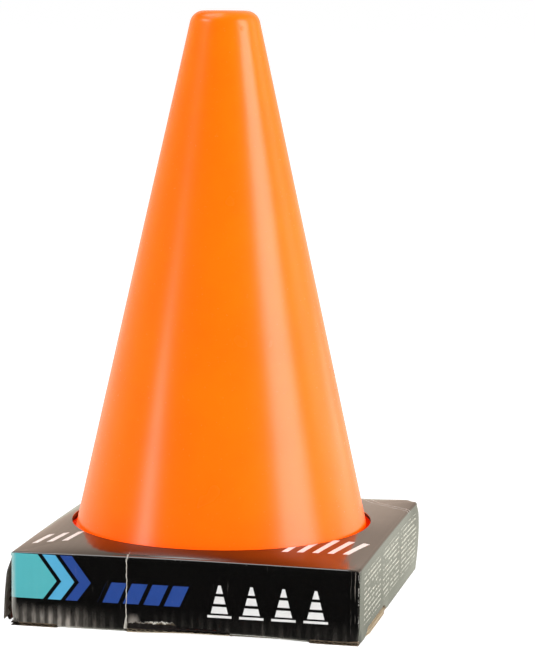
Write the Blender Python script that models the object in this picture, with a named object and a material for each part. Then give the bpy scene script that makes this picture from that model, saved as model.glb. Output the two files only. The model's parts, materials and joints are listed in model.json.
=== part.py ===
"""A set of four nested training cones standing in a low folding carton.

Units are metres, with +Z up. The origin is on the table, at the middle of the carton's underside. The front wall
faces -Y, and +X is to the right of someone who looks at it. The top cone stands up through a round hole in the top
panel, and the square bases of all four cones lie stacked inside. The carton's left wall is a loose flap that hangs a
little way out from its crease.
"""

import math

import bmesh
import bpy
from mathutils import Vector

# Cone: one moulding of even thickness, open underneath
CONE_COUNT = 4
CONE_HEIGHT = 0.229
TIP_RADIUS = 0.01367
SHOULDER_RADIUS = 0.005
CONE_WALL = 0.00111
BASE_SIDE = 0.1385
BASE_LEDGE = 0.0047
BASE_FILLET = 0.003
BASE_CORNER_RADIUS = 0.018
BASE_EDGE_RADIUS = 0.001

# Carton: fluted board, folded round the bases
BOARD = 0.0015
BASE_PLAY = 0.00175
HEAD_ROOM = 0.0018
HOLE_PLAY = 0.0019
PANEL_CROWN = 0.003
STACK_SHIFT = 0.0009
TAB_INSET = 0.003
TAB_PLAY = 0.0003
CUT_EDGE_CHAMFER = 0.0002
LEFT_WALL_FLARE = math.radians(5)

# Between faces that touch on the real thing
CLEARANCE = 0.0003

# How finely round shapes are stepped
EDGE_STEPS = 5
CORNER_STEPS = 5
SHOULDER_STEPS = 3
FILLET_STEPS = 2
BASE_EDGE_STEPS = 2
PANEL_SIDE_STEPS = 14
PANEL_RINGS = 3
SMOOTH_UP_TO = math.radians(35)

# Cone shape worked out from the sizes above: its straight side runs from TIP_RADIUS, at the flat top's height, to
# FOOT_RADIUS, where the side would meet the floor if the base were cut away
FOOT_RADIUS = BASE_SIDE / 2 - BASE_LEDGE
SIDE_ANGLE = math.atan2(FOOT_RADIUS - TIP_RADIUS, CONE_HEIGHT)

# A cone goes down over the next one as far as its wall lets it, and its base is just deep enough to stand there
NEST_PITCH = (CONE_WALL + CLEARANCE) / math.sin(SIDE_ANGLE)
BASE_HEIGHT = NEST_PITCH - CLEARANCE
SIDE_FOOT_RADIUS = FOOT_RADIUS - BASE_HEIGHT * math.tan(SIDE_ANGLE)
STACK_BOTTOM = BOARD + CLEARANCE
STACK_TOP = STACK_BOTTOM + (CONE_COUNT - 1) * NEST_PITCH + BASE_HEIGHT

# Carton shape worked out from the stack of bases inside it
CARTON_HALF = BASE_SIDE / 2 + BASE_PLAY + BOARD
CARTON_HEIGHT = STACK_TOP + HEAD_ROOM + BOARD
INSIDE_HALF = CARTON_HALF - BOARD
BEHIND_WALL = INSIDE_HALF - CLEARANCE
WALL_BOTTOM = BOARD + CLEARANCE
WALL_TOP = CARTON_HEIGHT - BOARD - CLEARANCE
TOP_CONE_TIP = STACK_TOP - BASE_HEIGHT + CONE_HEIGHT
RIM_UNDERSIDE = CARTON_HEIGHT + PANEL_CROWN - BOARD
HOLE_RADIUS = TIP_RADIUS + (TOP_CONE_TIP - RIM_UNDERSIDE) * math.tan(SIDE_ANGLE) + HOLE_PLAY

# Colour, roughness and metallic value of each finish
FINISHES = {
    "orange_plastic": ((1.0, 0.19, 0.01, 1.0), 0.4, 0.0),
    "black_board": ((0.006, 0.006, 0.006, 1.0), 0.3, 0.0),
    "brown_board": ((0.25, 0.15, 0.08, 1.0), 0.85, 0.0),
}


def clear_scene():
    for obj in list(bpy.data.objects):
        bpy.data.objects.remove(obj)


def give_finish(obj, finish):
    """Gives the object a material of its own, named after it."""
    colour, roughness, metallic = FINISHES[finish]
    material = bpy.data.materials.new(f"{obj.name}_{finish}")
    material.use_nodes = True
    shader = material.node_tree.nodes["Principled BSDF"]
    shader.inputs["Base Color"].default_value = colour
    shader.inputs["Roughness"].default_value = roughness
    shader.inputs["Metallic"].default_value = metallic
    obj.data.materials.clear()
    obj.data.materials.append(material)


def add_object(name, bm, finish):
    """Turns the bmesh into a named object in the scene, shaded smooth across shallow edges."""
    mesh = bpy.data.meshes.new(name)
    bm.to_mesh(mesh)
    bm.free()
    mesh.shade_smooth()
    mesh.set_sharp_from_angle(angle=SMOOTH_UP_TO)
    obj = bpy.data.objects.new(name, mesh)
    bpy.context.scene.collection.objects.link(obj)
    give_finish(obj, finish)
    return obj


def thicken(obj, thickness):
    """Gives a skin its thickness on the side away from its normals."""
    solidify = obj.modifiers.new("thickness", "SOLIDIFY")
    solidify.thickness = thickness
    solidify.offset = -1
    solidify.use_even_offset = True
    solidify.use_quality_normals = True


def add_rings(bm, rings):
    """Joins rings of points, each with as many points, into bands of faces. Returns the rings as bmesh vertices."""
    made = [[bm.verts.new(point) for point in ring] for ring in rings]
    for upper, lower in zip(made, made[1:]):
        for index, corner in enumerate(upper):
            before = index - 1
            bm.faces.new((upper[before], lower[before], lower[index], corner))
    return made


def arc(centre, radius, start, end, steps):
    """Points (r, z) of an arc about a centre (r, z), from one angle to another, both ends included."""
    angles = [start + (end - start) * step / steps for step in range(steps + 1)]
    return [(centre[0] + radius * math.cos(a), centre[1] + radius * math.sin(a)) for a in angles]


def base_outline(inset):
    """Points of the base's rounded square, drawn in by inset, anticlockwise from the middle of its +X side."""
    radius = BASE_CORNER_RADIUS - inset
    flat = BASE_SIDE / 2 - BASE_CORNER_RADIUS
    side = flat + radius
    corner = arc((flat, flat), radius, 0, math.pi / 2, CORNER_STEPS)
    quarter = [(side, flat * step / EDGE_STEPS) for step in range(EDGE_STEPS)]
    quarter += corner
    quarter += [(flat * (1 - step / EDGE_STEPS), side) for step in range(1, EDGE_STEPS)]
    outline = []
    for _ in range(4):
        outline += quarter
        quarter = [(-y, x) for x, y in quarter]
    return [Vector(point) for point in outline]


def cone_profile():
    """Points (r, z) down the outside of the cone, from the edge of its flat top to where the fillet meets the base.

    The shoulder is an arc that touches the flat top and the straight side. The fillet touches the side and the base.
    """
    cos, sin = math.cos(SIDE_ANGLE), math.sin(SIDE_ANGLE)
    shoulder_centre = (
        TIP_RADIUS - SHOULDER_RADIUS * (1 - sin) / cos,
        CONE_HEIGHT - SHOULDER_RADIUS,
    )
    fillet_centre = (
        SIDE_FOOT_RADIUS + BASE_FILLET * (1 - sin) / cos,
        BASE_HEIGHT + BASE_FILLET,
    )
    shoulder = arc(shoulder_centre, SHOULDER_RADIUS, math.pi / 2, SIDE_ANGLE, SHOULDER_STEPS)
    fillet = arc(fillet_centre, BASE_FILLET, math.pi + SIDE_ANGLE, 1.5 * math.pi, FILLET_STEPS)
    return shoulder + fillet


def cone_rings():
    """Rings of points over the whole outside of a cone: round down the side, then square round the base."""
    directions = [point.normalized() for point in base_outline(0)]
    rings = [[(r * d.x, r * d.y, z) for d in directions] for r, z in cone_profile()]
    edge_centre = (BASE_EDGE_RADIUS, BASE_HEIGHT - BASE_EDGE_RADIUS)
    for inset, z in arc(edge_centre, BASE_EDGE_RADIUS, math.pi / 2, math.pi, BASE_EDGE_STEPS):
        rings.append([(point.x, point.y, z) for point in base_outline(inset)])
    rings.append([(point.x, point.y, 0) for point in base_outline(0)])
    return rings


def make_cone(name, bottom):
    """One cone, standing with the foot of its base at the height given."""
    bm = bmesh.new()
    rings = add_rings(bm, cone_rings())
    bm.faces.new(rings[0])
    cone = add_object(name, bm, "orange_plastic")
    thicken(cone, CONE_WALL)
    cone.location = (-STACK_SHIFT, 0, bottom)


def make_cones():
    """The nested cones, numbered from the top one down."""
    for number in range(1, CONE_COUNT + 1):
        make_cone(f"cone_{number}", STACK_BOTTOM + (CONE_COUNT - number) * NEST_PITCH)


def panel_directions():
    """Unit vectors from the hole's centre, stepped evenly from each corner of the panel to the next."""
    corners = [(1, -1), (1, 1), (-1, 1), (-1, -1)]
    bearings = [math.atan2(y * CARTON_HALF, x * CARTON_HALF + STACK_SHIFT) for x, y in corners]
    bearings.append(bearings[0] + 2 * math.pi)
    directions = []
    for start, end in zip(bearings, bearings[1:]):
        turn = (end - start) % (2 * math.pi)
        for step in range(PANEL_SIDE_STEPS):
            bearing = start + turn * step / PANEL_SIDE_STEPS
            directions.append(Vector((math.cos(bearing), math.sin(bearing))))
    return directions


def reach_to_edge(direction):
    """How far the panel's edge is from the hole's centre in a direction."""
    to_side = CARTON_HALF + math.copysign(STACK_SHIFT, direction.x)
    return 1 / max(abs(direction.x) / to_side, abs(direction.y) / CARTON_HALF)


def make_top_panel():
    """The holed panel. It rises from its level edges to the rim of the hole as a quarter wave of the way in."""
    directions = panel_directions()
    rings = []
    for ring in range(PANEL_RINGS + 1):
        share = ring / PANEL_RINGS
        height = CARTON_HEIGHT + PANEL_CROWN * math.sin(share * math.pi / 2)
        points = []
        for direction in directions:
            edge = reach_to_edge(direction)
            place = direction * (edge + (HOLE_RADIUS - edge) * share)
            points.append((place.x - STACK_SHIFT, place.y, height))
        rings.append(points)
    bm = bmesh.new()
    add_rings(bm, reversed(rings))
    panel = add_object("top_panel", bm, "black_board")
    thicken(panel, BOARD)


def make_board(name, low, high, finish):
    """A flat piece of board between two corners, with its cut edges very slightly chamfered."""
    low, high = Vector(low), Vector(high)
    bm = bmesh.new()
    bmesh.ops.create_cube(bm, size=1)
    bmesh.ops.scale(bm, vec=high - low, verts=bm.verts)
    bmesh.ops.translate(bm, vec=(low + high) / 2, verts=bm.verts)
    bmesh.ops.bevel(bm, geom=bm.edges, offset=CUT_EDGE_CHAMFER, segments=1, affect="EDGES")
    return add_object(name, bm, finish)


def make_fixed_walls():
    """Front and back walls of full width, and the right wall between them."""
    for name, side in (("front_wall", -1), ("back_wall", 1)):
        faces = sorted((side * CARTON_HALF, side * INSIDE_HALF))
        low = (-CARTON_HALF, faces[0], WALL_BOTTOM)
        high = (CARTON_HALF, faces[1], WALL_TOP)
        make_board(name, low, high, "black_board")
    low = (INSIDE_HALF, -BEHIND_WALL, WALL_BOTTOM)
    high = (CARTON_HALF, BEHIND_WALL, WALL_TOP)
    make_board("right_wall", low, high, "black_board")


def make_left_wall():
    """The loose wall. Its origin lies on the crease it swings about, at the outer top corner of its board."""
    low = (0, -BEHIND_WALL, WALL_BOTTOM - WALL_TOP)
    high = (BOARD, BEHIND_WALL, 0)
    wall = make_board("left_wall", low, high, "black_board")
    wall.location = (-CARTON_HALF, 0, WALL_TOP)
    wall.rotation_euler.y = LEFT_WALL_FLARE


def tab_end():
    """How far from the middle a corner tab stops, short of the rounded corner of the bases.

    The base's side lies nearest on the left, by the shift of the stack. The corner's arc has drawn back far enough
    for the board of the tab where its sagitta equals the room that is missing.
    """
    inner_face = BEHIND_WALL - BOARD - TAB_PLAY
    side = BASE_SIDE / 2 + STACK_SHIFT
    missing = min(max(side - inner_face, 0), BASE_CORNER_RADIUS)
    reach = math.sqrt(BASE_CORNER_RADIUS**2 - (BASE_CORNER_RADIUS - missing) ** 2)
    return BASE_SIDE / 2 - BASE_CORNER_RADIUS + reach


def make_corner_tabs():
    """Tabs turned back from the ends of the front and back walls, inside the side walls."""
    low_z = WALL_BOTTOM + TAB_INSET
    high_z = WALL_TOP - TAB_INSET
    for end_name, end in (("front", -1), ("back", 1)):
        for side_name, side in (("left", -1), ("right", 1)):
            xs = sorted((side * BEHIND_WALL, side * (BEHIND_WALL - BOARD)))
            ys = sorted((end * BEHIND_WALL, end * tab_end()))
            low = (xs[0], ys[0], low_z)
            high = (xs[1], ys[1], high_z)
            make_board(f"tab_{end_name}_{side_name}", low, high, "black_board")


def make_bottom_panel():
    low = (-CARTON_HALF, -CARTON_HALF, 0)
    high = (CARTON_HALF, CARTON_HALF, BOARD)
    make_board("bottom_panel", low, high, "brown_board")


clear_scene()
make_cones()
make_top_panel()
make_fixed_walls()
make_left_wall()
make_corner_tabs()
make_bottom_panel()
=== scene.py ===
"""Looks of four nested training cones that stand in a low carton of printed and laminated fluted board.

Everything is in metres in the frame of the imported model: +Z up, the origin on the table under the middle of
the carton, the front wall at -Y. Each piece is built where the model has its node, and stands for it.
"""

import functools
import json
import math

import bmesh
import bpy
import numpy as np
from mathutils import Matrix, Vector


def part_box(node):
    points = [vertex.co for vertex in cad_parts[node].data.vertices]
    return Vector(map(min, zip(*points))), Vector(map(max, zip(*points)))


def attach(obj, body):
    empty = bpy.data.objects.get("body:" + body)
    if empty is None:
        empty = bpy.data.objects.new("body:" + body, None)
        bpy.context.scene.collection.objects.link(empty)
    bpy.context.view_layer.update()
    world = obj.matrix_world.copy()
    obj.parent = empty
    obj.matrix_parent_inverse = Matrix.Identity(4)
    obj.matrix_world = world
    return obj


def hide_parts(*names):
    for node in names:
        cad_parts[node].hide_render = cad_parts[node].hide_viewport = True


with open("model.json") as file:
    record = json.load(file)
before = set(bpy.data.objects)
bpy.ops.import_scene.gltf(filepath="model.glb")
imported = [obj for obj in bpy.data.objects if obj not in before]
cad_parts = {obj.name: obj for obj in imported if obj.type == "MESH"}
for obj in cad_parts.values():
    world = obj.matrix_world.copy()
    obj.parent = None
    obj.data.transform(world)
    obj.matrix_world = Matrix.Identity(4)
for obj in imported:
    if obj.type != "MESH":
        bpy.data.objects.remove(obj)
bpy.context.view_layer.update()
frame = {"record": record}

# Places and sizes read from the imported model
PANEL_LOW, PANEL_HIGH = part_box("top_panel")
WALL_LOW, WALL_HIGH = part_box("front_wall")
SIDE_LOW, SIDE_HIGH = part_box("right_wall")
FLAP_LOW, FLAP_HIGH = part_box("left_wall")
CONE_LOW, CONE_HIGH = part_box("cone_1")
HALF = PANEL_HIGH.x
BOARD = WALL_HIGH.y - WALL_LOW.y
INSIDE = HALF - BOARD
CARTON_TOP = PANEL_LOW.z + BOARD
CROWN = PANEL_HIGH.z - CARTON_TOP
WALL_FOOT = WALL_LOW.z
CREASE = PANEL_LOW.z
CONE_HEIGHT = CONE_HIGH.z - CONE_LOW.z
BASE_SIDE = CONE_HIGH.x - CONE_LOW.x
AXIS_X = (CONE_LOW.x + CONE_HIGH.x) / 2

# Cone moulding, which in the nest stands its base's height and a gap above the next one
NEST_GAP = 0.0003
BASE_HEIGHT = CONE_LOW.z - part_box("cone_2")[0].z - NEST_GAP
TIP_RADIUS = 0.01367
SHOULDER = 0.006
CONE_WALL = 0.00111
BASE_LEDGE = 0.0047
FILLET = 0.003
BASE_CORNER = 0.018
BASE_EDGE = 0.001
LEAST_EDGE = 0.0002
FOOT_RADIUS = BASE_SIDE / 2 - BASE_LEDGE
SIDE_ANGLE = math.atan2(FOOT_RADIUS - TIP_RADIUS, CONE_HEIGHT)
MOULDING_SWELL = 0.00005
MOULDING_WAVES = ((2, 3, 0), (3, -7, 1), (5, 11, 2))
GATE_BEARING = math.radians(41)
GATE_HEIGHT = 0.2219
GATE_RADIUS = 0.0009
GATE_RISE = 0.00016

# Fluted board: two liners with a wavy sheet between them, which shows faintly through the outer one
LINER = 0.00024
FLUTE_SHEET = 0.00016
FLUTE_PITCH = 0.0037
FLUTE_SWING = BOARD / 2 - LINER - FLUTE_SHEET / 2
FLUTE_SHOW = 0.000008

# Top panel: its folds and crown, and its hole
FOLD = 0.0012
CORNER_FOLD = 0.0012
EDGE_BOW = 0.0006
ROLL_SHARE = 0.25
ROLL_POWER = 5
RIM_SLOPE = 0.1
HOLE_PLAY = 0.0019
RIM_SHEET = (0.0002, 0.0016)
HOLE_RADIUS = TIP_RADIUS + (CONE_HIGH.z - PANEL_HIGH.z + BOARD) * math.tan(SIDE_ANGLE) + HOLE_PLAY

# Corners of the carton that are knocked about: the place, the push there, and how far it reaches
DENTS = (
    ((HALF, HALF, CARTON_TOP), (0.0008, 0.0002, 0.0007), 0.0140),
    ((HALF, HALF, CARTON_TOP), (-0.0010, -0.0008, -0.0010), 0.0026),
    ((HALF, -HALF, BOARD), (-0.0006, 0.0007, 0.0003), 0.0035),
    ((HALF, -HALF, CARTON_TOP), (-0.0004, 0.0004, -0.0003), 0.0030),
    ((-HALF, -HALF, BOARD), (0.0005, 0.0006, 0.0004), 0.0030),
)

# Foot of the front wall, along the wall: where its liner runs on under the carton, where it is torn and
# crushed, where it bows up off the table with the bottom's edge, and where it ripples over the flutes
BRIDGES = ((-0.0528, -0.0236), (0.0194, 0.0520))
BRIDGE_FOOT = 0.00015
BRIDGE_BEND = 0.0018
BRIDGE_NOTCH = 0.0016
FRONT_FOOT = BOARD + 0.00007
TEAR = -0.0235
TEAR_FOOT = 0.0016
TORN_TO = -0.0034
TORN_HEIGHT = 0.0042
CRUSHED_TO = 0.0194
CRUSHED_HEIGHT = 0.0028
FOOT_BOW = 0.0010
BOW_RISE = (-0.028, 0.008)
BOW_FALL = (0.026, 0.060)
BOTTOM_BEND = (HALF - 0.0036, HALF - 0.0018)
RIPPLE = 0.00007
RIPPLE_END = (-0.036, -0.020)
RIPPLE_TOP = (0.002, 0.013)
SAG = 0.00025

# White paper along the torn edge: middle and reach of its thick spots, and both ends and the softness of the
# stretches that stay white
WHITE_SPOTS = ((-0.0121, 0.0017), (-0.0075, 0.0011))
WHITE_PATCHES = ((-0.0142, -0.0100, 0.0008), (-0.0088, -0.0062, 0.0005))

# Frayed leaves of paper at the lower left corner
SCRAPS = 7
SCRAP_START = -0.0714
SCRAP_STEP = 0.00035

# Right wall: how far it laps the front wall's end, its bulge, and along its foot where the board is bare and
# where the bottom's edge creeps out
WALL_LAP = 0.0002
SIDE_BULGE = 0.0010
SIDE_FOOT = 0.0003
BARE_EDGE = (-0.0560, -0.0110)
BARE_ENDS = 0.0055
BARE_HEIGHT = 0.0036
BARE_BULGE = 0.0005
BARE_CREEP = (-0.0535, -0.0135)
CREEP_OUT = 0.0008

# Loose left wall: how far it steps out below its crease and bows, and the slope and inner end of the
# near-black darkening on its front edge
FLAP_STEP = 0.0013
FLAP_BOW = 0.0005
FLAP_SLOPE = 0.09
FLAP_INNER = (-0.0692, -0.0688)

# Front print, along and up the wall: nested chevrons, a band of slanted dashes, and cone pictograms
INK_EDGE = 0.00012
FAR = 1.0
PRINT_FOOT = 0.0118
CHEVRON_TIP = -0.0385
CHEVRON_MIDDLE = 0.0195
CHEVRON_SLOPE = 0.75
DASH_PITCH = 0.0086
DASH_GAP = 0.24
DASH_LEAN = 0.45
BAND_END = -0.0013
BAND_START = BAND_END - 4 * DASH_PITCH
BAND_TOP = 0.0203
ICON_PITCH = 0.0132
ICON_START = 0.0086
ICON_END = ICON_START + 4 * ICON_PITCH
ICON_FOOT = 0.0098
ICON_BANDS = ((0.0002, 0.0030), (0.0042, 0.0072), (0.0084, 0.0118))
ICON_PLATE = (-0.0016, -0.0006)
ICON_HALF = 0.0036
ICON_TAPER = 0.26
ICON_PLATE_HALF = 0.0050

# Wear of the print: along its edges and folds, and on the front scuffs along the foot at the left, with a
# painted sheen on the flute ripples there, a smear beside the tear, a left edge that grows paler, cracks in
# the right fold, and a seam of bare paper at the foot
EDGE_WEAR = (0.0003, 0.0008)
FOLD_WEAR = (0.0001, 0.0006)
RUB_AND_SHEEN_END = (-0.0500, -0.0300)
RUB_AND_SHEEN_TOP = (0.0012, 0.0108)
SMEAR = (TEAR + 0.0009, TEAR + 0.0049)
SMEAR_TOP = (0.0040, 0.0086)
LEFT_PALING = (0.0005, 0.0026)
FOLD_CRACKS = ((0.0689, 0.0691), (0.0706, 0.0709))
SEAM_HEIGHT = 0.0006
SEAM_HALF = 0.00012

# Print of the right wall: blocks along it, and the lines in them
BLOCKS = ((-0.0615, -0.0225), (-0.0160, 0.0230), (0.0280, 0.0640))
BLOCK_HEIGHTS = (0.0060, 0.0270)
LINE_FOOT = 0.0030
LINE_PITCH = 0.0021
LINE_SHARE = (0.26, 0.62)
WORD_SCALE = 330
ROW_SHIFT = 7.31

# Print of the top: fields of slanted bars, in axes turned a little with the panel's, and rings round a corner
BAR_FIELDS = ((0.0225, 0.0530, -0.0640, -0.0440), (-0.0800, -0.0640, -0.0400, -0.0270))
BAR_PITCH = 0.0062
BAR_SHARE = 0.42
BAR_LEAN = 0.5
BAR_TURN = (0.97, 0.24)
RINGS = ((0.0205, 0.0209), (0.0240, 0.0243))

# Camera of the photograph
CAMERA_PLACE = (0.2539, -1.1000, 0.2680)
CAMERA_TURN = math.radians(12.08)
CAMERA_DIP = math.radians(7.67)
CAMERA_ROLL = math.radians(0.52)
CAMERA_LENS = 146.57
SENSOR = 36

# Light: how far off the lamps stand, and how much brighter than its colour a wall of the carton renders
LAMP_DISTANCE = 1.6
LIGHT_ON_WALLS = 1.1


def colour(red, green, blue):
    """A colour as it shows on screen in this light, 0 to 255 a channel, as a shader's linear values."""
    shares = (channel / 255 for channel in (red, green, blue))
    linear = (share / 12.92 if share < 0.04045 else ((share + 0.055) / 1.055) ** 2.4 for share in shares)
    return (*(value / LIGHT_ON_WALLS for value in linear), 1.0)


ORANGE = (1.0, 0.180, 0.0012, 1.0)
ORANGE_DEEP = (1.0, 0.166, 0.0009, 1.0)
# Painted glow of the cones: a red emission, the same in light and in shade
PAINTED_GLOW = (1.0, 0.02, 0.0, 1.0)
PAINTED_GLOW_STRENGTH = 0.48
BLACK = (0.0022, 0.0020, 0.0018, 1.0)
BLACK_CLOUD = (0.0050, 0.0042, 0.0036, 1.0)
TEAL = colour(91, 197, 204)
SKY = colour(93, 189, 232)
DEEP_BLUE = colour(43, 79, 160)
WHITE_INK = colour(252, 252, 250)
GREY_INK = colour(214, 211, 196)
# Also the colour of a painted sheen on the front's flute ripples
SCUFF_AND_SHEEN = colour(176, 168, 158)
PAPER = colour(236, 232, 222)
PAPER_SHADE = colour(190, 182, 168)
KRAFT = colour(152, 133, 109)
KRAFT_LIGHT = colour(216, 200, 172)
KRAFT_DARK = colour(66, 54, 42)
# Near-black kraft: painted shade in the torn flutes, and the darkened front edge of the flap
KRAFT_NEAR_BLACK = colour(34, 29, 26)

# Chevrons of the front print: both ends as measured from the tip, and the ink
CHEVRONS = ((-FAR, -0.0145, TEAL), (-0.0125, -0.0070, SKY), (-0.0050, 0.0, DEEP_BLUE))

# What matt and glossy surfaces see around the object, and where along Y the floor's tone changes
WHITE = (1.0, 1.0, 1.0, 1.0)
ROOM = (0.12, 0.12, 0.12, 1.0)
DIM_ROOM = (0.04, 0.04, 0.04, 1.0)
BACKDROP = (0.96, 0.75, 0.61, 1.0)
FLOOR_MATT = (0.9, 0.9, 0.9, 1.0)
FLOOR_AHEAD = (0.02, 0.02, 0.02, 1.0)
FLOOR_BESIDE = (0.53, 0.535, 0.445, 1.0)
FLOOR_BEHIND = (0.70, 0.70, 0.59, 1.0)
FLOOR_STRENGTH = 1.38
FLOOR_REACH = 30.0
AHEAD_EDGE = (-0.078, -0.070)
BEHIND_EDGE = (-0.03, 0.15)


# Mesh building

def corners(rows, columns, around=False):
    """Quads between neighbouring points of a grid numbered row by row, closed round its columns or not."""
    row = np.arange(rows - 1)[:, None]
    column = np.arange(columns if around else columns - 1)[None, :]
    after = (column + 1) % columns
    first, second = row * columns, (row + 1) * columns
    ring = (first + column, second + column, second + after, first + after)
    return np.stack(ring, axis=-1).reshape(-1, 4)


def rim_loops(rows, columns, around):
    """The grid's open borders, each as a closed loop of point numbers."""
    if around:
        first = np.arange(columns)
        return [first, first + (rows - 1) * columns]
    top, bottom = np.arange(columns), (rows - 1) * columns + np.arange(columns)
    left, right = np.arange(rows) * columns, np.arange(rows) * columns + columns - 1
    return [np.concatenate([top[:-1], right[:-1], bottom[:0:-1], left[:0:-1]])]


def slab(face, back, kinds, around=False):
    """A closed sheet: a grid of face points, one of back points, and strips that join their borders.

    kinds are the material numbers of the face, the back and the border.
    """
    rows, columns = face.shape[:2]
    count = rows * columns
    front = corners(rows, columns, around)
    strips = []
    for loop in rim_loops(rows, columns, around):
        after = np.roll(loop, -1)
        strips.append(np.stack([loop, after, after + count, loop + count], axis=-1))
    border = np.concatenate(strips)
    points = np.concatenate([face.reshape(-1, 3), back.reshape(-1, 3)])
    faces = np.concatenate([front, front[:, ::-1] + count, border])
    marks = np.repeat(kinds, [len(front), len(front), len(border)])
    return points, faces.tolist(), marks


def pod(rings, kind=0):
    """A closed skin over rings of points, with a point at the middle of the first and the last ring."""
    rows, columns = rings.shape[:2]
    body = corners(rows, columns, around=True)
    points = np.concatenate([rings.reshape(-1, 3), rings[[0, -1]].mean(axis=1)])
    near = np.arange(columns)
    far = near + (rows - 1) * columns
    start = np.stack([near, np.roll(near, -1), np.full(columns, rows * columns)], axis=-1)
    end = np.stack([np.roll(far, -1), far, np.full(columns, rows * columns + 1)], axis=-1)
    faces = body.tolist() + start.tolist() + end.tolist()
    return points, faces, np.full(len(faces), kind)


def add_object(name, data):
    """A new object in the scene."""
    thing = bpy.data.objects.new(name, data)
    bpy.context.scene.collection.objects.link(thing)
    return thing


def make_piece(name, shells, materials, node, smooth_up_to=40):
    """One object of closed shells, faces turned outwards, that stands for a node and rides as it does."""
    points, faces, marks, first = [], [], [], 0
    for shell_points, shell_faces, shell_marks in shells:
        points.append(shell_points)
        faces += [[first + corner for corner in face] for face in shell_faces]
        marks.append(shell_marks)
        first += len(shell_points)
    mesh = bpy.data.meshes.new(name)
    mesh.from_pydata(np.concatenate(points).tolist(), [], faces)
    mesh.polygons.foreach_set("material_index", np.concatenate(marks).astype(np.int32))
    shape = bmesh.new()
    shape.from_mesh(mesh)
    bmesh.ops.recalc_face_normals(shape, faces=shape.faces)
    shape.to_mesh(mesh)
    shape.free()
    for material in materials:
        mesh.materials.append(material)
    mesh.shade_smooth()
    mesh.set_sharp_from_angle(angle=math.radians(smooth_up_to))
    piece = add_object(name, mesh)
    body = next(body for body, nodes in frame["record"]["behaviour"]["bodies"].items() if node in nodes)
    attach(piece, body)
    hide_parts(node)


def swell(value, start, end):
    """0 before start, 1 after end, and a smooth rise between them."""
    share = np.clip((value - start) / (end - start), 0, 1)
    return share * share * (3 - 2 * share)


def span(value, low, high, soft):
    """1 between low and high, with soft ends."""
    return swell(value, low - soft / 2, low + soft / 2) * (1 - swell(value, high - soft / 2, high + soft / 2))


def ragged(value, step):
    """An uneven line between -1 and 1: three sine waves whose lengths don't fit, the longest of step."""
    waves = ((6.28, 0.0), (14.9, 1.3), (33.1, 0.4))
    return sum(np.sin(value / step * pace + start) for pace, start in waves) / 3


# Shader building

class Value:
    """A number that changes over a surface: a socket, on which Python's operators add Math nodes."""

    def __init__(self, shader, socket):
        self.shader = shader
        self.socket = socket

    def math(self, operation, *others):
        node = self.shader.make("ShaderNodeMath", {"operation": operation}, dict(enumerate(others)))
        return Value(self.shader, node.outputs[0])

    def __add__(self, other):
        return self.math("ADD", self, other)

    def __sub__(self, other):
        return self.math("SUBTRACT", self, other)

    def __rsub__(self, other):
        return self.math("SUBTRACT", other, self)

    def __mul__(self, other):
        return self.math("MULTIPLY", self, other)

    def __truediv__(self, other):
        return self.math("DIVIDE", self, other)

    __radd__ = __add__
    __rmul__ = __mul__

    def size(self):
        return self.math("ABSOLUTE", self)

    def wave(self, length):
        """A cosine of that wavelength, from 0 to 1."""
        return self.math("COSINE", self * (2 * math.pi / length)) * 0.5 + 0.5

    def part(self):
        return self.math("FRACT", self)

    def whole(self):
        return self.math("FLOOR", self)

    def most(self, other):
        return self.math("MAXIMUM", self, other)

    def root(self):
        return self.math("SQRT", self)

    def rise(self, start, end):
        """0 before start, 1 after end, and a smooth rise between them."""
        settings = {"interpolation_type": "SMOOTHSTEP"}
        node = self.shader.make("ShaderNodeMapRange", settings, {0: self, 1: start, 2: end, 3: 0.0, 4: 1.0})
        return Value(self.shader, node.outputs[0])

    def between(self, low, high, soft=INK_EDGE):
        """1 between low and high, with edges as soft as ink on paper."""
        return self.rise(low - soft, low + soft) * (1 - self.rise(high - soft, high + soft))


def any_of(masks):
    """The largest of several masks at each place."""
    return functools.reduce(Value.most, masks)


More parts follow.
